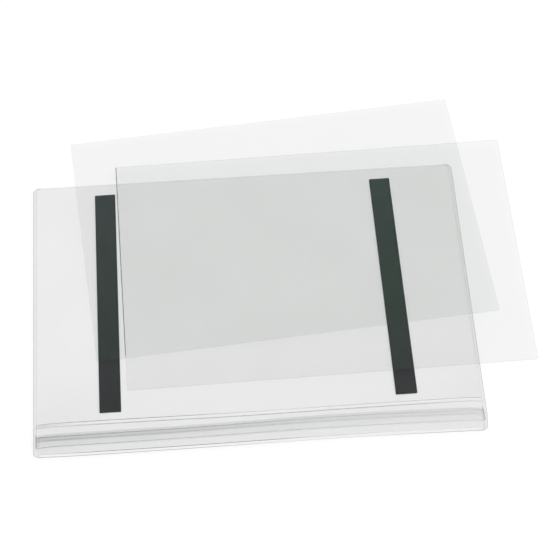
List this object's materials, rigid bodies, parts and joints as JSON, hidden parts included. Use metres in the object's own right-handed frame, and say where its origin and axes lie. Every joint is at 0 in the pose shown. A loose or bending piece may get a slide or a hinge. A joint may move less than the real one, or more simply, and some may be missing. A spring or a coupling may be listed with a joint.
{
  "type": "magnetic display pocket",
  "caption": "Clear landscape film pocket with a press-seal mouth along its lower edge, magnet strips on its back and loose clear insert sheets on its face.",
  "frame": {"origin": "middle of the pocket's outline, on the plane shared by the backs of the magnet strips", "axes": "+X along the pocket's long side to the right, +Y away from the mouth, +Z out of the display face"},
  "size_m": [0.3641, 0.3125, 0.0046],
  "materials": {
    "clear_film": "clear, glossy, soft and slightly wavy",
    "welded_film": "clear, with pressed weld lines",
    "zip_strip": "clear, extruded lengthwise",
    "magnet": "matte black flexible magnet with fine lengthwise lines",
    "adhesive": "thin layer of tacky clear adhesive that shows dark against the magnet",
    "insert_film": "clear with a faint grey cast, satin, crisp cut edges"
  },
  "bodies": {
    "pocket": {"rear_panel": "clear_film", "front_panel": "clear_film", "band_weld": "welded_film", "seam_left": "welded_film", "seam_right": "welded_film", "seam_top": "welded_film", "zip_groove_strip": "zip_strip", "magnet_strip_left": "magnet", "magnet_strip_right": "magnet", "magnet_adhesive_left": "adhesive", "magnet_adhesive_right": "adhesive"},
    "lip": {"front_lip": "clear_film", "zip_rib_strip": "zip_strip"},
    "lower_sheet": {"insert_sheet_lower": "insert_film"},
    "upper_sheet": {"insert_sheet_upper": "insert_film"}
  },
  "joints": [
    {"name": "mouth_hinge", "type": "hinge", "parent": "pocket", "child": "lip", "pos_m": [0, -0.0988, 0.0044], "axis": [-1, 0, 0], "range_deg": [0, 40]},
    {"name": "lower_sheet_slide", "type": "slide", "parent": "pocket", "child": "lower_sheet", "axis": [-0.0814, 0.9967, 0], "range_m": [0, 0.045]},
    {"name": "upper_sheet_slide", "type": "slide", "parent": "pocket", "child": "upper_sheet", "axis": [-0.0175, 0.9998, 0], "range_m": [0, 0.085]}
  ]
}
